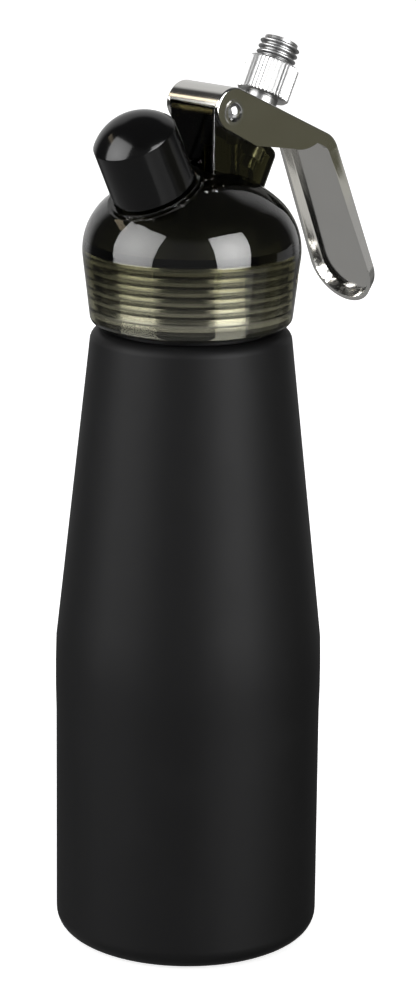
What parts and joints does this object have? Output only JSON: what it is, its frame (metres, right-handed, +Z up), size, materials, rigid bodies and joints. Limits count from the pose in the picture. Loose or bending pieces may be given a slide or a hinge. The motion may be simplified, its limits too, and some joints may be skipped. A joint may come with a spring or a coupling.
{
  "type": "whipped cream dispenser",
  "caption": "Pressurised cream whipper: aluminium bottle, screw-on smoked head, squeeze lever that opens a valve, capped spout and a threaded gas charger inlet.",
  "frame": {"origin": "centre of the bottle's flat base, where it stands", "axes": "+Z up the bottle's axis, +X towards the lever, -X towards the spout, +Y to the left of the spout seen from the lever"},
  "size_m": [0.1126, 0.0804, 0.2729],
  "materials": {
    "bottle_coat": "matt black soft-touch lacquer over drawn aluminium",
    "smoked_polymer": "clear glossy polymer, smoked near black with an olive cast",
    "ring_aluminium": "turned, satin",
    "silicone": "matt translucent grey",
    "valve_steel": "turned stainless steel",
    "inner_polymer": "moulded, black",
    "brass_insert": "turned",
    "lever_steel": "stamped stainless steel, tumbled and polished",
    "rivet_steel": "bright",
    "inlet_aluminium": "bright turned and knurled",
    "nozzle_steel": "formed stainless steel",
    "cap_polymer": "moulded, glossy black"
  },
  "bodies": {
    "bottle": {"bottle": "bottle_coat"},
    "head": {"head_shell": "smoked_polymer", "thread_ring": "ring_aluminium", "head_gasket": "silicone", "valve_seat": "valve_steel", "valve_cage": "inner_polymer", "valve_spring": "valve_steel", "rod_guide": "brass_insert", "rod_seal": "silicone", "pivot_bushing": "inner_polymer"},
    "lever": {"lever": "lever_steel", "pivot_rivet": "rivet_steel"},
    "valve": {"valve_rod": "valve_steel", "valve_poppet": "valve_steel", "valve_seal": "silicone", "poppet_nut": "valve_steel"},
    "inlet": {"inlet_stem": "inlet_aluminium", "knurled_grip": "inlet_aluminium", "piercing_pin": "valve_steel", "gas_filter": "brass_insert", "charger_gasket": "silicone", "check_retainer": "brass_insert", "inlet_seal": "silicone"},
    "check_ball": {"check_ball": "valve_steel"},
    "nozzle": {"nozzle_adapter": "inner_polymer", "star_nozzle": "nozzle_steel", "nozzle_seal": "silicone"},
    "cap": {"spout_cap": "cap_polymer"}
  },
  "joints": [
    {"name": "head_lift", "type": "slide", "parent": "bottle", "child": "head", "axis": [0, 0, 1], "range_m": [0, 0.09]},
    {"name": "lever_squeeze", "type": "hinge", "parent": "head", "child": "lever", "pos_m": [0.0063, 0, 0.2536], "axis": [0, 1, 0], "range_deg": [0, 15], "stiffness_Nm_per_rad": 0.4, "springref_deg": -14.32},
    {"name": "valve_press", "type": "slide", "parent": "head", "child": "valve", "axis": [0, 0, -1], "range_m": [0, 0.0019], "deforming": ["valve_spring"]},
    {"name": "inlet_lift", "type": "slide", "parent": "head", "child": "inlet", "axis": [0.4617, 0, 0.887], "range_m": [0, 0.03]},
    {"name": "check_lift", "type": "slide", "parent": "inlet", "child": "check_ball", "axis": [0.4617, 0, 0.887], "range_m": [0, 0.0005]},
    {"name": "nozzle_lift", "type": "slide", "parent": "head", "child": "nozzle", "axis": [-0.4579, 0, 0.889], "range_m": [0, 0.02]},
    {"name": "cap_pull", "type": "slide", "parent": "nozzle", "child": "cap", "axis": [-0.4579, 0, 0.889], "range_m": [0, 0.035]}
  ],
  "couplings": [
    {"joint": "valve_press", "follows": "lever_squeeze", "m_per_rad": 0.007}
  ]
}
